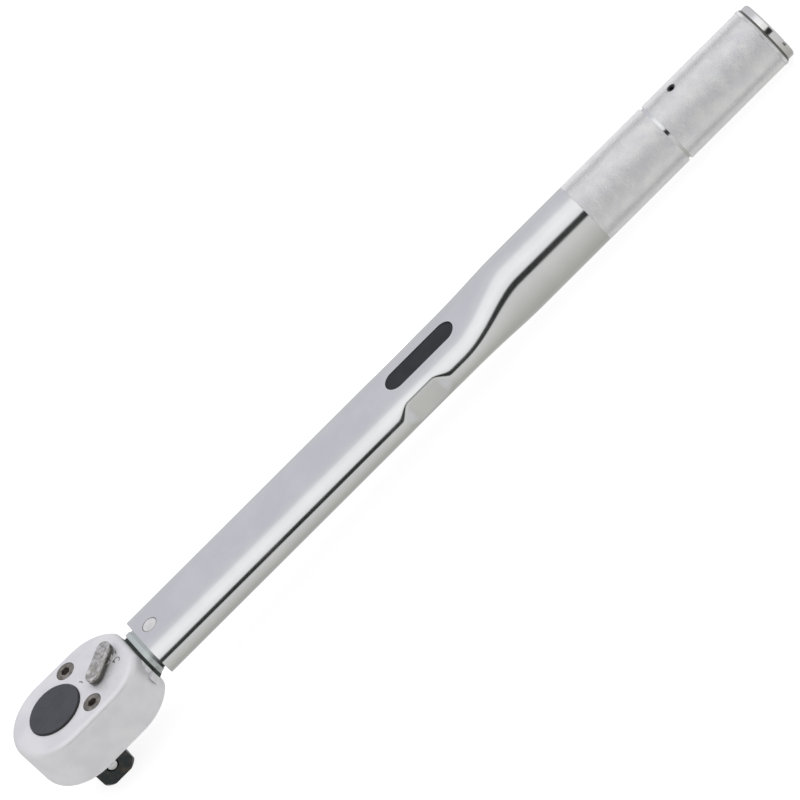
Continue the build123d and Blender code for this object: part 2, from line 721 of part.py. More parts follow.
with BuildPart() as reverse_lever:
    with BuildSketch(lever_plane):
        with Locations((LEVER_FRONT - LEVER_LENGTH / 2, 0)):
            SlotOverall(LEVER_LENGTH, LEVER_W)
    extrude(amount=LEVER_H)
    fillet(reverse_lever.faces().sort_by(Axis.Z)[-1].edges(), 0.5)
    with BuildSketch(lever_plane):
        Circle(LEVER_BOSS_R)
    extrude(amount=LEVER_H + LEVER_BOSS_H)
    fillet(reverse_lever.edges().sort_by(Axis.Z)[-1], 0.2)
    # thumb dimple near the tab's end
    above_lever = lever_plane.offset(LEVER_H + DIMPLE_R - DIMPLE_DEPTH)
    with Locations(above_lever.origin + Vector(LEVER_DIR) * DIMPLE_AT):
        Sphere(DIMPLE_R, mode=Mode.SUBTRACT)
    with BuildSketch(lever_plane):
        Rectangle(CAM_TANG, CAM_TANG)
    extrude(amount=CAM_TANG_H, mode=Mode.SUBTRACT)
finish(reverse_lever.part, "reverse_lever")

with BuildPart() as reverse_cam:
    with BuildSketch(Plane.XY.offset(HEAD_BOTTOM_Z + PLATE_SINK)):
        with Locations((LEVER_X, 0)):
            Circle(CAM_FOOT_R)
    extrude(amount=LEVER_BOTTOM_Z - HEAD_BOTTOM_Z - PLATE_SINK)
    with BuildSketch(Plane.XY.offset(PLATE_TOP_Z + GAP)):
        with Locations((LEVER_X, 0)):
            Circle(CAM_R)
    extrude(amount=GEAR_TOP_Z - PLATE_TOP_Z - GAP)
    with BuildSketch(Plane.XY.offset(GEAR_TOP_Z)):
        with Locations((LEVER_X, 0)):
            Circle(CAM_JOURNAL_R)
    extrude(amount=LEVER_BOTTOM_Z - GEAR_TOP_Z)
    with BuildSketch(lever_plane):
        Rectangle(CAM_TANG, CAM_TANG)
    extrude(amount=CAM_TANG_H)
    # finger that lifts one pawl's tail
    finger_plane = Plane(origin=(LEVER_X, 0, PAWL_BOTTOM_Z), x_dir=LEVER_DIR, z_dir=(0, 0, 1))
    with BuildSketch(finger_plane):
        with Locations((CAM_FINGER_R / 2 - CAM_FINGER_W / 4, 0)):
            Rectangle(CAM_FINGER_R - CAM_FINGER_W / 2, CAM_FINGER_W)
        with Locations((CAM_FINGER_R - CAM_FINGER_W / 2, 0)):
            Circle(CAM_FINGER_W / 2)
    extrude(amount=PAWL_TOP_Z - PAWL_BOTTOM_Z)
    # detent track with a deeper seat at each end
    with BuildSketch(Plane.XZ):
        with Locations((LEVER_X + DETENT_R, DETENT_Z)):
            Circle(DETENT_BALL_R + FIT)
    revolve(axis=Axis((LEVER_X, 0, 0), (0, 0, 1)), revolution_arc=2 * LEVER_ANGLE, mode=Mode.SUBTRACT)
    for seat_angle in (0, 2 * LEVER_ANGLE):
        seat_x = LEVER_X + (DETENT_R - DETENT_SEAT) * math.cos(math.radians(seat_angle))
        seat_y = (DETENT_R - DETENT_SEAT) * math.sin(math.radians(seat_angle))
        with Locations((seat_x, seat_y, DETENT_Z)):
            Sphere(DETENT_BALL_R + FIT, mode=Mode.SUBTRACT)
finish(reverse_cam.part, "reverse_cam")

with BuildPart() as lever_detent_ball:
    with Locations((LEVER_X + DETENT_R, 0, DETENT_Z)):
        Sphere(DETENT_BALL_R)
finish(lever_detent_ball.part, "lever_detent_ball")

# ---------------------------------------------------------------- click mechanism

with BuildPart() as toggle_block:
    with Locations((ARM_TIP_X + GAP + TOGGLE_L / 2, 0, AXIS_Z)):
        Box(TOGGLE_L, TOGGLE_W, TOGGLE_H)
    fillet(toggle_block.edges().filter_by(Axis.Z), TOGGLE_EDGE_R)
finish(toggle_block.part, "toggle_block")

with BuildPart() as slider:
    with BuildSketch(across(SLIDER_X)):
        SlotOverall(SLIDER_W, SLIDER_H)
    extrude(amount=SLIDER_L)
    with BuildSketch(across(SLIDER_X + SLIDER_L)):
        Circle(ROD_R)
    extrude(amount=-SLIDER_L / 2, mode=Mode.SUBTRACT)
finish(slider.part, "slider")

with BuildPart() as push_rod:
    with BuildSketch(across(SLIDER_X + SLIDER_L / 2)):
        Circle(ROD_R)
    extrude(amount=ROD_DISC_X - SLIDER_X - SLIDER_L / 2)
    with BuildSketch(across(ROD_DISC_X)):
        Circle(SEAT_R)
    extrude(amount=ROD_DISC_H)
    with BuildSketch(across(ROD_DISC_X + ROD_DISC_H)):
        Circle(REAR_SEAT_GUIDE_R)
    extrude(amount=REAR_SEAT_GUIDE_L)
finish(push_rod.part, "push_rod")

with BuildPart() as spring_washer:
    with BuildSketch(across(ROD_DISC_X + ROD_DISC_H)):
        Circle(SEAT_R)
        Circle(REAR_SEAT_GUIDE_R, mode=Mode.SUBTRACT)
    extrude(amount=WASHER_H)
finish(spring_washer.part, "spring_washer")

with BuildPart() as rear_spring_seat:
    with BuildSketch(across(REAR_SEAT_X - REAR_SEAT_GUIDE_L)):
        Circle(REAR_SEAT_GUIDE_R)
    extrude(amount=THRUST_BALL_X - SCREW_GAP - REAR_SEAT_X + REAR_SEAT_GUIDE_L)
    with BuildSketch(across(REAR_SEAT_X)):
        Circle(SEAT_R)
    extrude(amount=REAR_SEAT_H)
    with Locations((THRUST_BALL_X, 0, AXIS_Z)):
        Sphere(THRUST_BALL_R + FIT, mode=Mode.SUBTRACT)
finish(rear_spring_seat.part, "rear_spring_seat")

with BuildPart() as thrust_ball:
    with Locations((THRUST_BALL_X, 0, AXIS_Z)):
        Sphere(THRUST_BALL_R)
finish(thrust_ball.part, "thrust_ball")

with BuildPart() as adjusting_screw:
    with BuildSketch(Plane.XZ):
        with BuildLine():
            Polyline(
                (SCREW_FRONT_X, AXIS_Z),
                (SCREW_FRONT_X, AXIS_Z + SCREW_R),
                (SCREW_END_X - SCREW_CHAMFER, AXIS_Z + SCREW_R),
                (SCREW_END_X, AXIS_Z + SCREW_R - SCREW_CHAMFER),
                (SCREW_END_X, AXIS_Z),
                close=True,
            )
        make_face()
        with Locations((THRUST_BALL_X, AXIS_Z)):
            Circle(THRUST_BALL_R + FIT, mode=Mode.SUBTRACT)
    revolve(axis=Axis((0, 0, AXIS_Z), (1, 0, 0)))
    with BuildSketch(across(SCREW_END_X)):
        RegularPolygon(SCREW_SOCKET / 2, 6, major_radius=False)
    extrude(amount=-SCREW_SOCKET, mode=Mode.SUBTRACT)
finish(adjusting_screw.part, "adjusting_screw")

with BuildPart() as threaded_bush:
    with BuildSketch(across(NUT_X)):
        Circle(BORE_R)
        Circle(SCREW_R + FIT, mode=Mode.SUBTRACT)
    extrude(amount=NUT_L)
    with BuildSketch(Plane.XY.offset(LOCK_BOTTOM_Z)):
        with Locations((LOCK_X, 0)):
            Circle(LOCK_R)
    extrude(amount=TUBE_R, mode=Mode.SUBTRACT)
finish(threaded_bush.part, "threaded_bush")

with BuildPart() as lock_screw:
    with BuildSketch(Plane.XY.offset(LOCK_BOTTOM_Z)):
        with Locations((LOCK_X, 0)):
            Circle(LOCK_R)
    extrude(amount=LOCK_TOP_Z - LOCK_BOTTOM_Z)
    with BuildSketch(Plane.XY.offset(LOCK_TOP_Z)):
        with Locations((LOCK_X, 0)):
            RegularPolygon(LOCK_HEX / 2, 6, major_radius=False)
    extrude(amount=-LOCK_HEX, mode=Mode.SUBTRACT)
finish(lock_screw.part, "lock_screw")

# ---------------------------------------------------------------- end cap

with BuildPart() as end_cap:
    with BuildSketch(across(TUBE_END_X - CAP_BODY_L)):
        Circle(BORE_R - WIDE_FIT)
    extrude(amount=CAP_BODY_L)
    with BuildSketch(across(TUBE_END_X)):
        Circle(CAP_HEAD_R)
    extrude(amount=CAP_HEAD_L)
    chamfer(end_cap.edges().group_by(Axis.X)[-1], 0.6)
    with BuildSketch(across(O_RING_X - O_RING_GROOVE_W / 2)):
        Circle(BORE_R)
        Circle(O_RING_R - O_RING_SECTION_R - FIT, mode=Mode.SUBTRACT)
    extrude(amount=O_RING_GROOVE_W, mode=Mode.SUBTRACT)
    with BuildSketch(across(TUBE_END_X + CAP_HEAD_L)):
        Rectangle(3 * CAP_HEAD_R, CAP_SLOT_W)
    extrude(amount=-CAP_SLOT_H, mode=Mode.SUBTRACT)
finish(end_cap.part, "end_cap")

with BuildPart() as end_cap_o_ring:
    with BuildSketch(Plane.XZ):
        with Locations((O_RING_X, AXIS_Z + O_RING_R)):
            Circle(O_RING_SECTION_R)
    revolve(axis=Axis((0, 0, AXIS_Z), (1, 0, 0)))
finish(end_cap_o_ring.part, "end_cap_o_ring")
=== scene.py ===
import json
import math

import bmesh
import bpy
from mathutils import Matrix, Vector


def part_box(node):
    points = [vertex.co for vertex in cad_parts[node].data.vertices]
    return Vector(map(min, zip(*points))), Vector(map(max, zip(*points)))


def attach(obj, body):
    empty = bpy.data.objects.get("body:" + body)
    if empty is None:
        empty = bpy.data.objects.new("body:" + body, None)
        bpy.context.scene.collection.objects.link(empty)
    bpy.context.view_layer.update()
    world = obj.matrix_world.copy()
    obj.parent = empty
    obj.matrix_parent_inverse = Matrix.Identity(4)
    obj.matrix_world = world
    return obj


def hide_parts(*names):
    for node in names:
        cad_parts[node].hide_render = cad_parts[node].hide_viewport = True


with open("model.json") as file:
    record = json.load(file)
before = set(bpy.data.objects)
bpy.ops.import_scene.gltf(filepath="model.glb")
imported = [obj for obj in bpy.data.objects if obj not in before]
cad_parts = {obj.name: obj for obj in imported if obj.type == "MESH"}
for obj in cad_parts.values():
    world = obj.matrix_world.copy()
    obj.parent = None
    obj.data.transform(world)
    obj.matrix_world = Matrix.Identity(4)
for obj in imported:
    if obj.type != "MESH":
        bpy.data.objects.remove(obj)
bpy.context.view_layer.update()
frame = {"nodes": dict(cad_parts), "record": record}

nodes = frame["nodes"]
scene = bpy.context.scene
scene.view_settings.view_transform = "Standard"

# ---------------------------------------------------------------- camera

camera_data = bpy.data.cameras.new("camera")
camera_data.lens = 390.7
camera_data.sensor_width = 36.0
camera_data.clip_end = 20.0
camera = bpy.data.objects.new("camera", camera_data)
camera.location = (0.1539, -2.2501, 1.6872)
camera.rotation_euler = [math.radians(a) for a in (43.75, 34.63, -30.57)]
scene.collection.objects.link(camera)
scene.camera = camera

# ---------------------------------------------------------------- sizes read from the frame

tube_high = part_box("tube")[1]
head_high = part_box("head_housing")[1]
lock_low, lock_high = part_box("lock_screw")
cap_top_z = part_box("drive_cap")[1].z
lever_top_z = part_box("reverse_lever")[1].z
axis_z = (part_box("push_rod")[0].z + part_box("push_rod")[1].z) / 2
lock_x = (lock_low.x + lock_high.x) / 2

HEAD_PIN_X = 0.0409

# Stations along the tube and radii of its round part, in millimetres
TUBE_FRONT, TUBE_END = 35.5, 315.3
PRESS_START, FLAT_START, FLAT_END, PRESS_END = 143.5, 150.4, 160.6, 167.5
BLEND_START, BLEND_END = 173.0, 203.0
GRIP_START, GROOVE_START, GROOVE_END, GRIP_END = 233.6, 269.8, 270.8, 313.4
TUBE_R, GRIP_R, GROOVE_R, BORE_R, EDGE_R = 11.6, 11.4, 10.95, 10.3, 0.9

# ---------------------------------------------------------------- materials


class Nodes:
    """A node tree, with short ways to add the nodes used here."""

    def __init__(self, tree):
        self.tree = tree

    def new(self, kind):
        return self.tree.nodes.new(kind)

    def link(self, value, socket):
        """Connect an output to an input, or set the input to a number or colour."""
        if isinstance(value, bpy.types.NodeSocket):
            self.tree.links.new(value, socket)
        else:
            socket.default_value = value

    def math(self, operation, a, b=0.0):
        node = self.new("ShaderNodeMath")
        node.operation = operation
        self.link(a, node.inputs[0])
        self.link(b, node.inputs[1])
        return node.outputs[0]

    def share(self, value, low, high, to_low=0.0, to_high=1.0, interpolation="LINEAR"):
        """Map value from low..high to to_low..to_high, clamped."""
        node = self.new("ShaderNodeMapRange")
        node.interpolation_type = interpolation
        self.link(value, node.inputs["Value"])
        node.inputs["From Min"].default_value = low
        node.inputs["From Max"].default_value = high
        node.inputs["To Min"].default_value = to_low
        node.inputs["To Max"].default_value = to_high
        return node.outputs[0]

    def spread(self, value, low, high, to_low=0.0, to_high=1.0):
        """Map value from low..high to to_low..to_high, clamped and smooth."""
        return self.share(value, low, high, to_low, to_high, "SMOOTHSTEP")

    def mix(self, amount, a, b):
        node = self.new("ShaderNodeMix")
        node.data_type = "RGBA"
        self.link(amount, node.inputs[0])
        self.link(a, node.inputs[6])
        self.link(b, node.inputs[7])
        return node.outputs[2]

    def component(self, vector, index):
        node = self.new("ShaderNodeSeparateXYZ")
        self.link(vector, node.inputs[0])
        return node.outputs[index]


class Shader(Nodes):
    """A node material with a Principled BSDF, built up from noise, ramps and bumps."""

    def __init__(self, name, color, metallic, roughness):
        self.material = bpy.data.materials.new(name)
        self.material.use_nodes = True
        super().__init__(self.material.node_tree)
        self.bsdf = self.tree.nodes["Principled BSDF"]
        self.bsdf.inputs["Base Color"].default_value = (*color, 1)
        self.bsdf.inputs["Metallic"].default_value = metallic
        self.bsdf.inputs["Roughness"].default_value = roughness
        self.coords = self.new("ShaderNodeTexCoord").outputs["Object"]
        self.normal = None

    def noise(self, scale, detail=3.0, roughness=0.55, stretch=(1, 1, 1)):
        """Noise in metres of the object; stretch divides the frequency along each axis."""
        mapping = self.new("ShaderNodeMapping")
        mapping.inputs["Scale"].default_value = [1 / s for s in stretch]
        self.link(self.coords, mapping.inputs["Vector"])
        node = self.new("ShaderNodeTexNoise")
        node.inputs["Scale"].default_value = scale
        node.inputs["Detail"].default_value = detail
        node.inputs["Roughness"].default_value = roughness
        self.link(mapping.outputs[0], node.inputs["Vector"])
        return node.outputs["Fac"]

    def axis(self, index):
        return self.component(self.coords, index)

    def bump(self, height, strength, distance):
        node = self.new("ShaderNodeBump")
        node.inputs["Strength"].default_value = strength
        node.inputs["Distance"].default_value = distance
        self.link(height, node.inputs["Height"])
        if self.normal is not None:
            self.link(self.normal, node.inputs["Normal"])
        self.normal = node.outputs[0]
        self.link(self.normal, self.bsdf.inputs["Normal"])

    def color(self, value):
        self.link(value, self.bsdf.inputs["Base Color"])

    def roughness(self, value):
        self.link(value, self.bsdf.inputs["Roughness"])


def rgb(r, g, b):
    return (r, g, b, 1.0)


def tube_chrome():
    """Polished plate with faint lengthwise polishing marks, satin where the sides are pressed flat."""
    s = Shader("tube_chrome", (0.83, 0.835, 0.85), 1.0, 0.14)
    cloud = s.noise(55, 4, 0.6)
    grain = s.noise(2600, 2, 0.5, (30, 1, 1))
    speck = s.noise(900, 2, 0.5)
    x, y = s.axis(0), s.math("ABSOLUTE", s.axis(1))
    plate = s.mix(s.spread(cloud, 0.35, 0.7), rgb(0.80, 0.805, 0.815), rgb(0.85, 0.855, 0.86))
    s.color(s.mix(s.spread(x, 0.3143, 0.31455), plate, rgb(0.22, 0.215, 0.20)))
    pressed = s.math("MULTIPLY", s.spread(x, 0.1475, 0.1505), s.spread(x, 0.1635, 0.1605))
    pressed = s.math("MULTIPLY", pressed, s.spread(y, 0.0108, 0.0114))
    polish = s.spread(cloud, 0.3, 0.75, 0.11, 0.17)
    wear = s.spread(speck, 0.66, 0.74, 0.0, 0.05)
    satin = s.math("MULTIPLY", pressed, 0.2)
    s.roughness(s.math("ADD", s.math("ADD", polish, wear), satin))
    s.bump(grain, 0.05, 0.00002)
    return s.material


def knurl_chrome():
    """Satin plate over the knurl, its roughness varying with a fine noise."""
    s = Shader("knurl_chrome", (0.94, 0.94, 0.95), 0.97, 0.32)
    cloud = s.noise(220, 4, 0.6)
    fine = s.noise(5200, 2, 0.6)
    s.color(s.mix(s.spread(cloud, 0.3, 0.7), rgb(0.91, 0.905, 0.925), rgb(0.98, 0.98, 0.98)))
    s.roughness(s.spread(fine, 0.3, 0.7, 0.3, 0.42))
    s.bump(fine, 0.12, 0.00003)
    return s.material


def head_chrome():
    """Satin pearl plate with a fine grain; painted shade in the groove beside the head and a painted
    shadow on the neck below the axis, in front of the tube's mouth.
    """
    s = Shader("head_chrome", (0.74, 0.735, 0.76), 0.36, 0.34)
    cloud = s.noise(120, 3, 0.5)
    fine = s.noise(5200, 2, 0.6)
    grit = s.noise(1500, 3, 0.6)
    x, z = s.axis(0), s.axis(2)
    plate = s.mix(s.spread(cloud, 0.3, 0.7), rgb(0.70, 0.695, 0.72), rgb(0.765, 0.76, 0.78))
    collar = s.spread(x, 0.0323, 0.0326)
    plate = s.mix(collar, plate, rgb(0.52, 0.565, 0.56))
    # painted shade: the groove between the head and the collar is coloured near black
    groove = s.math("MULTIPLY", s.spread(x, 0.03125, 0.03135), s.spread(x, 0.0326, 0.03245))
    # painted shadow: the lower part of the neck, just in front of the tube's mouth, is coloured near
    # black
    behind = s.math("MULTIPLY", s.spread(x, 0.0341, 0.0344), s.spread(z, axis_z + 0.005, axis_z - 0.001))
    # both painted dark marks, broken up by a gritty grain
    painted_shade = s.math("MAXIMUM", groove, behind)
    painted_shade = s.math("MULTIPLY", painted_shade, s.spread(grit, 0.2, 0.45, 0.75, 1.0))
    s.color(s.mix(painted_shade, plate, rgb(0.045, 0.055, 0.05)))
    s.roughness(s.math("ADD", s.spread(cloud, 0.3, 0.7, 0.32, 0.4), s.math("MULTIPLY", painted_shade, 0.25)))
    s.bump(fine, 0.06, 0.00002)
    return s.material


def screw_oxide():
    """Brown-grey phosphate of the two cover screws, rubbed bright in places."""
    s = Shader("screw_oxide", (0.2, 0.185, 0.17), 0.8, 0.42)
    cloud = s.noise(700, 4, 0.6)
    fine = s.noise(4200, 2, 0.6)
    s.color(s.mix(s.spread(cloud, 0.35, 0.7), rgb(0.18, 0.165, 0.15), rgb(0.36, 0.335, 0.31)))
    s.roughness(s.spread(fine, 0.3, 0.7, 0.36, 0.5))
    s.bump(fine, 0.15, 0.00003)
    return s.material


def lever_plate():
    """Plate of the lever, tarnished beige in patches, with painted shade down its sides."""
    s = Shader("lever_chrome", (0.62, 0.61, 0.58), 1.0, 0.16)
    cloud = s.noise(420, 3, 0.55)
    blotch = s.noise(650, 2, 0.5)
    hair = s.noise(1800, 2, 0.4, (1, 12, 1))
    plate = s.mix(s.spread(cloud, 0.35, 0.65), rgb(0.44, 0.43, 0.39), rgb(0.74, 0.73, 0.72))
    plate = s.mix(s.spread(blotch, 0.55, 0.68, 0.0, 0.6), plate, rgb(0.26, 0.25, 0.23))
    # painted shade: the lever's sides turn dark below its top face
    side = s.spread(s.axis(2), lever_top_z - 0.0008, lever_top_z - 0.0018)
    s.color(s.mix(side, plate, rgb(0.12, 0.115, 0.10)))
    s.roughness(s.spread(hair, 0.4, 0.8, 0.12, 0.28))
    s.bump(blotch, 0.25, 0.00008)
    return s.material


def pin_steel():
    """Peened end of the head pin, brighter than the plate, with a dull ring where it meets the tube."""
    s = Shader("pin_steel", (0.8, 0.79, 0.775), 0.75, 0.38)
    cloud = s.noise(500, 4, 0.6)
    fine = s.noise(3600, 2, 0.5)
    from_x = s.math("SUBTRACT", s.axis(0), HEAD_PIN_X)
    y = s.axis(1)
    apart = s.math("SQRT", s.math("ADD", s.math("MULTIPLY", from_x, from_x), s.math("MULTIPLY", y, y)))
    face = s.mix(s.spread(cloud, 0.35, 0.7), rgb(0.78, 0.765, 0.75), rgb(0.92, 0.91, 0.90))
    s.color(s.mix(s.spread(apart, 0.0024, 0.0027), face, rgb(0.42, 0.41, 0.40)))
    s.roughness(s.spread(cloud, 0.3, 0.75, 0.3, 0.48))
    s.bump(fine, 0.06, 0.00002)
    return s.material


def bright_chrome():
    """Mirror plate of the end cap, with hairline scratches."""
    s = Shader("bright_chrome", (0.86, 0.85, 0.84), 1.0, 0.1)
    cloud = s.noise(300, 3, 0.5)
    hair = s.noise(1800, 2, 0.4, (1, 12, 1))
    s.color(s.mix(s.spread(cloud, 0.3, 0.7), rgb(0.82, 0.81, 0.80), rgb(0.86, 0.86, 0.87)))
    s.roughness(s.spread(hair, 0.4, 0.8, 0.08, 0.2))
    s.bump(hair, 0.04, 0.00002)
    return s.material


def black_oxide():
    """Blackened steel with a brown cast and worn patches."""
    s = Shader("black_oxide", (0.05, 0.055, 0.06), 0.85, 0.36)
    cloud = s.noise(420, 4, 0.6)
    fine = s.noise(4200, 2, 0.6)
    s.color(s.mix(s.spread(cloud, 0.45, 0.75), rgb(0.045, 0.052, 0.055), rgb(0.10, 0.085, 0.075)))
    s.roughness(s.spread(fine, 0.3, 0.7, 0.3, 0.46))
    s.bump(fine, 0.15, 0.00003)
    return s.material


def dark_cap():
    """Smooth slate-coloured moulding, faintly flow-marked, black on its rim."""
    s = Shader("dark_cap", (0.04, 0.045, 0.055), 0.0, 0.26)
    s.bsdf.inputs["Coat Weight"].default_value = 0.25
    s.bsdf.inputs["Coat Roughness"].default_value = 0.2
    cloud = s.noise(160, 3, 0.5)
    fine = s.noise(4800, 2, 0.5)
    slate = s.mix(s.spread(cloud, 0.35, 0.7), rgb(0.026, 0.029, 0.037), rgb(0.036, 0.039, 0.046))
    rim = s.spread(s.axis(2), cap_top_z - 0.00003, cap_top_z - 0.00015)
    s.color(s.mix(rim, slate, rgb(0.006, 0.006, 0.007)))
    s.roughness(s.math("ADD", s.spread(cloud, 0.3, 0.7, 0.22, 0.32), s.math("MULTIPLY", rim, 0.3)))
    s.bump(fine, 0.05, 0.00002)
    return s.material


def black_plastic():
    """Satin black moulding with a fine texture."""
    s = Shader("black_plastic", (0.015, 0.016, 0.02), 0.0, 0.42)
    s.bsdf.inputs["Specular IOR Level"].default_value = 0.36
    fine = s.noise(6500, 2, 0.6)
    cloud = s.noise(200, 3, 0.5)
    s.color(s.mix(s.spread(cloud, 0.35, 0.7), rgb(0.010, 0.0105, 0.014), rgb(0.017, 0.0175, 0.021)))
    s.roughness(s.spread(fine, 0.3, 0.7, 0.36, 0.5))
    s.bump(fine, 0.15, 0.00002)
    return s.material


def turned_steel(name, color, roughness):
    """Bare steel with fine machining marks and a few dull spots."""
    s = Shader(name, color, 1.0, roughness)
    cloud = s.noise(260, 4, 0.6)
    lines = s.noise(3600, 2, 0.5, (1, 20, 20))
    dull = tuple(c * 0.82 for c in color)
    s.color(s.mix(s.spread(cloud, 0.35, 0.7), (*dull, 1), (*color, 1)))
    s.roughness(s.spread(cloud, 0.3, 0.75, roughness * 0.8, roughness * 1.3))
    s.bump(lines, 0.06, 0.00002)
    return s.material


def rubber():
    """Matt black rubber with a dusty bloom."""
    s = Shader("rubber", (0.02, 0.02, 0.02), 0.0, 0.7)
    bloom = s.noise(900, 4, 0.6)
    s.color(s.mix(s.spread(bloom, 0.4, 0.75), rgb(0.016, 0.016, 0.017), rgb(0.04, 0.04, 0.041)))
    s.roughness(s.spread(bloom, 0.3, 0.7, 0.6, 0.8))
    s.bump(bloom, 0.1, 0.00003)
    return s.material


def mark_paint():
    """Dark filling of the engraved marks, uneven in tone."""
    s = Shader("mark_paint", (0.12, 0.115, 0.11), 0.4, 0.6)
    cloud = s.noise(2400, 3, 0.6)
    s.color(s.mix(s.spread(cloud, 0.35, 0.7), rgb(0.07, 0.068, 0.066), rgb(0.2, 0.19, 0.18)))
    s.roughness(s.spread(cloud, 0.3, 0.7, 0.5, 0.75))
    s.bump(cloud, 0.2, 0.00003)
    return s.material


FINISHES = {
    "tube_chrome": tube_chrome(),
    "head_chrome": head_chrome(),
    "lever_chrome": lever_plate(),
    "black_oxide": black_oxide(),
    "dark_cap": dark_cap(),
    "black_plastic": black_plastic(),
    "plain_steel": turned_steel("plain_steel", (0.72, 0.71, 0.70), 0.24),
    "bearing_steel": turned_steel("bearing_steel", (0.82, 0.82, 0.83), 0.1),
    "spring_steel": turned_steel("spring_steel", (0.34, 0.33, 0.33), 0.34),
    "bush_bronze": turned_steel("bush_bronze", (0.66, 0.45, 0.24), 0.3),
    "rubber": rubber(),
}
SPECIAL = {"pawl_screws": screw_oxide(), "head_pin": pin_steel(), "end_cap": bright_chrome()}
for part in frame["record"]["subparts"]:
    for material_slot in nodes[part["node"]].material_slots:
        material_slot.material = SPECIAL.get(part["node"], FINISHES[part["material_slot"]])


def finished(mesh_maker, name):
    """The mesh that a maker holds, with its normals turned outward."""
    bmesh.ops.recalc_face_normals(mesh_maker, faces=mesh_maker.faces)
    mesh = bpy.data.meshes.new(name)
    mesh_maker.to_mesh(mesh)
    mesh_maker.free()
    return mesh


def new_piece(name, mesh, material, body):
    mesh.materials.append(material)
    piece = bpy.data.objects.new(name, mesh)
    scene.collection.objects.link(piece)
    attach(piece, body)
    return piece


# ---------------------------------------------------------------- tube shell

# A section is: half-width of the top, its half-angle, half-height, shoulder radius, corner radius and
# where the side arc starts, in millimetres and degrees. Every arc is tangent to the next.
CORNER_ANGLE = 62.0
ROUND_TOP_ANGLE, ROUND_SIDE_START = 15.0, 36.5
OVAL_OUT = (6.2, 0.0, 6.5, 9.3, 9.3, 36.5)
OVAL_IN = (6.2, 0.0, 5.2, 8.0, 8.0, 36.5)
PRESSED_OUT = (6.2, 0.0, 6.5, 9.3, 1.8, 2.0)
PRESSED_IN = (6.2, 0.0, 5.2, 8.0, 0.5, 2.0)
ARC_STEPS = (4, 7, 9, 8)
PRESS_STEPS, BLEND_STEPS, EDGE_STEPS = 20, 60, 6


def circle_shape(radius):
    half_top = radius * math.sin(math.radians(ROUND_TOP_ANGLE))
    return (half_top, ROUND_TOP_ANGLE, radius, radius, radius, ROUND_SIDE_START)


def quarter(shape):
    """Points from the top's middle down to the side, as y and z over the axis."""
    flat, top_angle, half_h, shoulder_r, corner_r, side_start = shape

    def arc(center, radius, start, end, steps):
        angles = [math.radians(start + (end - start) * (k + 1) / steps) for k in range(steps)]
        return [(center[0] + radius * math.cos(a), center[1] + radius * math.sin(a)) for a in angles]

    points = [(0.0, half_h)]
    if top_angle < 0.01:
        points += [(flat * (k + 1) / ARC_STEPS[0], half_h) for k in range(ARC_STEPS[0])]
    else:
        top_r = flat / math.sin(math.radians(top_angle))
        points += arc((0, half_h - top_r), top_r, 90, 90 - top_angle, ARC_STEPS[0])
    for radius, start, end, steps in (
        (shoulder_r, 90 - top_angle, CORNER_ANGLE, ARC_STEPS[1]),
        (corner_r, CORNER_ANGLE, side_start, ARC_STEPS[2]),
    ):
        turn = math.radians(start)
        center = (points[-1][0] - radius * math.cos(turn), points[-1][1] - radius * math.sin(turn))
        points += arc(center, radius, start, end, steps)
    side_r = points[-1][1] / math.sin(math.radians(side_start))
    center = (points[-1][0] - side_r * math.cos(math.radians(side_start)), 0)
    return points + arc(center, side_r, side_start, 0, ARC_STEPS[3])


def ring(x, shape):
    """The whole section at x, in metres."""
    first = quarter(shape)
    half = first + [(y, -z) for y, z in first[-2::-1]]
    loop = half + [(-y, z) for y, z in half[-2:0:-1]]
    return [(x / 1000, y / 1000, axis_z + z / 1000) for y, z in loop]


def eased(first, last, start, end, steps):
    """Sections between two shapes, with both ends left out."""
    rings = []
    for k in range(1, steps):
        t = k / steps
        weight = t * t * (3 - 2 * t)
        shape = [a + (b - a) * weight for a, b in zip(first, last)]
        rings.append(ring(start + (end - start) * t, shape))
    return rings


def tube_side(oval, pressed, end_shape, front, rear):
    """Sections along one skin of the tube, from its mouth to the end of the round part."""
    return [
        ring(front, oval),
        ring(PRESS_START, oval),
        *eased(oval, pressed, PRESS_START, FLAT_START, PRESS_STEPS),
        ring(FLAT_START, pressed),
        ring(FLAT_END, pressed),
        *eased(pressed, oval, FLAT_END, PRESS_END, PRESS_STEPS),
        ring(PRESS_END, oval),
        ring(BLEND_START, oval),
        *eased(oval, end_shape, BLEND_START, BLEND_END, BLEND_STEPS),
        ring(BLEND_END, end_shape),
        ring(rear, end_shape),
    ]


def close_loops(mesh_maker, first, second):
    """Quads between two closed loops of vertices."""
    for k in range(len(first)):
        after = (k + 1) % len(first)
        mesh_maker.faces.new((first[k], first[after], second[after], second[k]))


def prism(mesh_maker, outline, low_z, high_z):
    """Closed upright prism over a plan outline."""
    low = [mesh_maker.verts.new((x, y, low_z)) for x, y in outline]
    high = [mesh_maker.verts.new((x, y, high_z)) for x, y in outline]
    mesh_maker.faces.new(low[::-1])
    mesh_maker.faces.new(high)
    close_loops(mesh_maker, low, high)


def disc(x, radius, steps=48):
    angles = [2 * math.pi * k / steps for k in range(steps)]
    return [(x + radius * math.cos(a), radius * math.sin(a)) for a in angles]


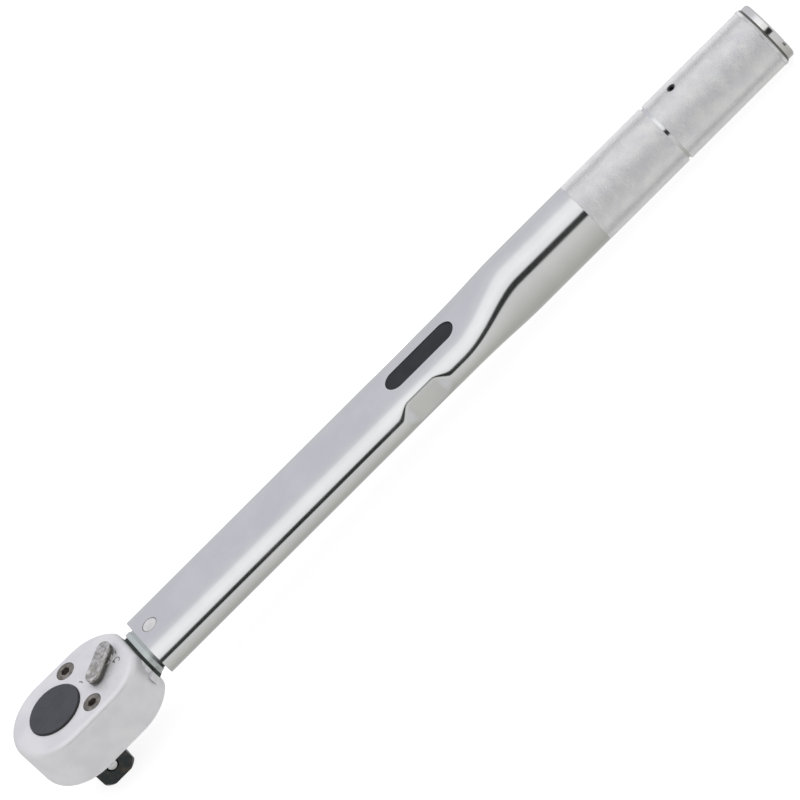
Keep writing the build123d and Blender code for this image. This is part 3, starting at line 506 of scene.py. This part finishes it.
rings = tube_side(OVAL_OUT, PRESSED_OUT, circle_shape(TUBE_R), TUBE_FRONT, GRIP_START)
for x, radius in (
    (GRIP_START, GRIP_R),
    (GROOVE_START, GRIP_R),
    (GROOVE_START, GROOVE_R),
    (GROOVE_END, GROOVE_R),
    (GROOVE_END, GRIP_R),
    (GRIP_END, GRIP_R),
    (GRIP_END, TUBE_R),
):
    rings.append(ring(x, circle_shape(radius)))
for k in range(EDGE_STEPS + 1):
    turn = math.radians(90 * k / EDGE_STEPS)
    radius = TUBE_R - EDGE_R + EDGE_R * math.cos(turn)
    rings.append(ring(TUBE_END - EDGE_R + EDGE_R * math.sin(turn), circle_shape(radius)))
rings += tube_side(OVAL_IN, PRESSED_IN, circle_shape(BORE_R), TUBE_FRONT, TUBE_END)[::-1]
shell_maker = bmesh.new()
shell_rings = [[shell_maker.verts.new(point) for point in loop] for loop in rings]
for first, second in zip(shell_rings, shell_rings[1:] + shell_rings[:1]):
    close_loops(shell_maker, first, second)
solid = bpy.data.objects.new("tube_solid", finished(shell_maker, "tube_solid"))

# the window slot, the pin's holes and the lock screw's hole
WINDOW_X, WINDOW_STRAIGHT, WINDOW_R = 0.1634, 0.0105, 0.0043
WINDOW_STEPS = 24
PIN_HOLE_R, LOCK_HOLE_R = 0.00286, 0.0015
SHARP_ANGLE = 28.0
slot_plan = []
for k in range(WINDOW_STEPS + 1):
    turn = math.pi * (k / WINDOW_STEPS - 0.5)
    slot_plan.append((WINDOW_X + WINDOW_STRAIGHT + WINDOW_R * math.cos(turn), WINDOW_R * math.sin(turn)))
slot_plan += [(2 * WINDOW_X - x, -y) for x, y in slot_plan]
cutter_maker = bmesh.new()
for outline, low_z, high_z in (
    (slot_plan, 0.002, 0.014),
    (disc(HEAD_PIN_X, PIN_HOLE_R), -0.009, 0.009),
    (disc(lock_x, LOCK_HOLE_R), 0.006, 0.014),
):
    prism(cutter_maker, outline, axis_z + low_z, axis_z + high_z)
cutter = bpy.data.objects.new("tube_cutter", finished(cutter_maker, "tube_cutter"))
for temporary in (solid, cutter):
    scene.collection.objects.link(temporary)
cut = solid.modifiers.new("holes", "BOOLEAN")
cut.operation = "DIFFERENCE"
cut.solver = "EXACT"
cut.object = cutter
bpy.context.view_layer.update()
tube_mesh = bpy.data.meshes.new_from_object(solid.evaluated_get(bpy.context.evaluated_depsgraph_get()))
for temporary in (solid, cutter):
    bpy.data.objects.remove(temporary)
tube_mesh.shade_smooth()
tube_mesh.set_sharp_from_angle(angle=math.radians(SHARP_ANGLE))
tube_mesh.materials.clear()
tube_shell = new_piece("tube_shell", tube_mesh, FINISHES["tube_chrome"], "tube_body")
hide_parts("tube")

# ---------------------------------------------------------------- knurl

VALLEY_R = 0.01141
TIP_R = 0.01165
AROUND = 148
TIP_SHARE = 0.25
KNURL_STRETCH = 2.2
KNURL_MARGIN = 0.0001
RIM_LIFT = 0.0002
RIM_END_GAP = 0.00085
LOCK_CLEAR_R = 0.0018


def knurl_mesh(name, start, end, valley_r, tip_r):
    """Two crossing sets of V grooves leave rows of small blunt pyramids."""
    pitch_turn = 2 * math.pi / AROUND
    pitch_x = pitch_turn * VALLEY_R * KNURL_STRETCH
    first = math.floor(start / pitch_x) - 1
    last = math.ceil(end / pitch_x) + 1

    def place(x, turn, radius):
        return Vector((x, radius * math.sin(turn), axis_z + radius * math.cos(turn)))

    mesh_maker = bmesh.new()
    for row in range(2 * first, 2 * last):
        x = row * pitch_x / 2
        for column in range(AROUND):
            turn = (column + (row % 2) / 2) * pitch_turn
            arc = (turn + math.pi) % (2 * math.pi) - math.pi
            if math.hypot(x - lock_x, arc * VALLEY_R) < LOCK_CLEAR_R:
                continue
            corners = ((1, 0), (0, 1), (-1, 0), (0, -1))
            base = [place(x + i * pitch_x / 2, turn + j * pitch_turn / 2, valley_r) for i, j in corners]
            tip = [
                place(x + i * pitch_x / 2 * TIP_SHARE, turn + j * pitch_turn / 2 * TIP_SHARE, tip_r)
                for i, j in corners
            ]
            base = [mesh_maker.verts.new(p) for p in base]
            tip = [mesh_maker.verts.new(p) for p in tip]
            mesh_maker.faces.new(tip)
            for k in range(4):
                mesh_maker.faces.new((base[k], base[(k + 1) % 4], tip[(k + 1) % 4], tip[k]))
    bmesh.ops.remove_doubles(mesh_maker, verts=mesh_maker.verts, dist=0.00002)
    for cut_x, side in ((start, -1), (end, 1)):
        everything = mesh_maker.verts[:] + mesh_maker.edges[:] + mesh_maker.faces[:]
        bmesh.ops.bisect_plane(
            mesh_maker,
            geom=everything,
            plane_co=(cut_x, 0, 0),
            plane_no=(side, 0, 0),
            clear_outer=True,
        )
    return finished(mesh_maker, name)


knurl_material = knurl_chrome()
for knurl_name, knurl_start, knurl_end, lift in (
    ("knurl_front", GRIP_START / 1000 + 2 * KNURL_MARGIN, GROOVE_START / 1000 - KNURL_MARGIN, 0.0),
    ("knurl_rear", GROOVE_END / 1000 + KNURL_MARGIN, GRIP_END / 1000 - KNURL_MARGIN, 0.0),
    ("knurl_rim", GRIP_END / 1000, tube_high.x - RIM_END_GAP, RIM_LIFT),
):
    knurl = knurl_mesh(knurl_name, knurl_start, knurl_end, VALLEY_R + lift, TIP_R + lift * 0.7)
    new_piece(knurl_name, knurl, knurl_material, "tube_body")

# ---------------------------------------------------------------- marks beside the lever

MARK_H = 0.00004
MARK_LIFT = 0.000005
MARK_TOP_SHARE = 0.7


def ribbon(mesh_maker, points, width, top_z):
    """Low raised ribbon with bevelled sides along a path on the head's top."""
    rows = []
    for index, point in enumerate(points):
        before, after = points[max(index - 1, 0)], points[min(index + 1, len(points) - 1)]
        along = Vector((after[0] - before[0], after[1] - before[1], 0)).normalized()
        side = Vector((-along.y, along.x, 0)) * width / 2
        middle = Vector((point[0], point[1], 0))
        row = [middle + side * share for share in (-1, -MARK_TOP_SHARE, MARK_TOP_SHARE, 1)]
        heights = (0.0, MARK_H, MARK_H, 0.0)
        rows.append([mesh_maker.verts.new((v.x, v.y, top_z + h)) for v, h in zip(row, heights)])
    for first, second in zip(rows, rows[1:]):
        for k in range(3):
            mesh_maker.faces.new((first[k], first[k + 1], second[k + 1], second[k]))
    mesh_maker.faces.new(rows[0])
    mesh_maker.faces.new(rows[-1][::-1])


def arc_points(center, radius, start, end, steps=14):
    """Points of an arc between two angles in degrees."""
    angles = [math.radians(start + (end - start) * k / steps) for k in range(steps + 1)]
    return [(center[0] + radius * math.cos(a), center[1] + radius * math.sin(a)) for a in angles]


mark_material = mark_paint()
MARKS = {
    "mark_turn": (
        (arc_points((0.0256, -0.0043), 0.0011, -70, 200), 0.00032),
        (((0.0248, -0.0033), (0.0243, -0.0040)), 0.0008),
    ),
    "mark_stop": ((((0.0272, -0.0001), (0.0269, -0.0009), (0.0268, -0.0018)), 0.0003),),
    "mark_front": ((((0.0119, 0.0016), (0.0124, 0.0008), (0.0125, 0.0000)), 0.0004),),
}
for mark_name, strokes in MARKS.items():
    mark_maker = bmesh.new()
    for stroke, stroke_width in strokes:
        ribbon(mark_maker, stroke, stroke_width, head_high.z + MARK_LIFT)
    new_piece(mark_name, finished(mark_maker, mark_name), mark_material, "head")

# ---------------------------------------------------------------- floor and light

# the wrench lies on the square's rear edge and on the rim of the grip's end
SQUARE_HALF = 0.00635
FLOOR_GAP = 0.00005
rim_x = tube_high.x - EDGE_R / 1000
rim_z = axis_z - TUBE_R / 1000
floor_slope = rim_z / (rim_x - SQUARE_HALF)
floor_tilt = math.atan(floor_slope)
floor_mesh = bpy.data.meshes.new("floor")
floor_maker = bmesh.new()
bmesh.ops.create_grid(floor_maker, x_segments=40, y_segments=40, size=6.0)
floor_maker.to_mesh(floor_mesh)
floor_maker.free()
floor = bpy.data.objects.new("floor", floor_mesh)
floor_drop = -floor_slope * SQUARE_HALF - FLOOR_GAP
floor.matrix_world = Matrix.Translation((0, 0, floor_drop)) @ Matrix.Rotation(-floor_tilt, 4, "Y")
floor_shader = Shader("floor", (0.3, 0.3, 0.3), 0.0, 0.9)
floor_shader.bsdf.inputs["Emission Color"].default_value = (1, 1, 1, 1)
floor_shader.bsdf.inputs["Emission Strength"].default_value = 0.86
floor_cloud = floor_shader.noise(3, 3, 0.5)
floor_shader.color(floor_shader.mix(floor_cloud, rgb(0.29, 0.29, 0.29), rgb(0.31, 0.31, 0.31)))
floor_mesh.materials.append(floor_shader.material)
scene.collection.objects.link(floor)
floor.visible_glossy = False

light_data = bpy.data.lights.new("overhead", "AREA")
light_data.shape = "RECTANGLE"
light_data.size = 2.2
light_data.size_y = 1.8
light_data.energy = 13.6
light = bpy.data.objects.new("overhead", light_data)
light.location = (0.15, 0.25, 1.6)
light_aim = Vector((0.15, 0, 0)) - light.location
light.rotation_euler = light_aim.to_track_quat("-Z", "Y").to_euler()
light.visible_glossy = False
scene.collection.objects.link(light)

# Surroundings: a grey wall behind, a wide white panel above, a dark gap in front of it, pale bench below.
# The ramp runs by angle about the X axis: 0 is the front horizon, 90 straight up, 180 the far horizon.
SURROUNDINGS = (
    (-180, (0.60, 0.60, 0.63)),
    (-150, (0.56, 0.56, 0.56)),
    (-90, (0.43, 0.425, 0.40)),
    (-60, (0.49, 0.485, 0.455)),
    (0, (0.65, 0.65, 0.635)),
    (23, (0.68, 0.68, 0.67)),
    (27, (0.03, 0.03, 0.03)),
    (45, (0.03, 0.03, 0.03)),
    (49, (0.85, 0.86, 0.86)),
    (74, (1.0, 1.0, 1.0)),
    (100, (0.92, 0.92, 0.94)),
    (116, (0.68, 0.68, 0.71)),
    (143, (0.62, 0.62, 0.67)),
    (180, (0.62, 0.62, 0.645)),
)
END_WALL = (0.62, 0.62, 0.63, 1)
world = bpy.data.worlds.new("surroundings")
world.use_nodes = True
scene.world = world
sky = Nodes(world.node_tree)
direction = sky.new("ShaderNodeTexCoord").outputs["Generated"]
toward = sky.math("MULTIPLY", sky.component(direction, 1), -1.0)
angle = sky.math("ARCTAN2", sky.component(direction, 2), toward)
ramp = sky.new("ShaderNodeValToRGB")
stops = ramp.color_ramp.elements
stops[0].color = (*SURROUNDINGS[0][1], 1)
stops[-1].color = (*SURROUNDINGS[-1][1], 1)
for degrees, tone in SURROUNDINGS[1:-1]:
    stops.new((degrees + 180) / 360).color = (*tone, 1)
sky.link(sky.share(angle, -math.pi, math.pi), ramp.inputs["Fac"])
sideways = sky.math("ABSOLUTE", sky.component(direction, 0))
surroundings = sky.mix(sky.spread(sideways, 0.45, 0.85), ramp.outputs["Color"], END_WALL)
background = world.node_tree.nodes["Background"]
background.inputs["Strength"].default_value = 1.0
sky.link(surroundings, background.inputs["Color"])
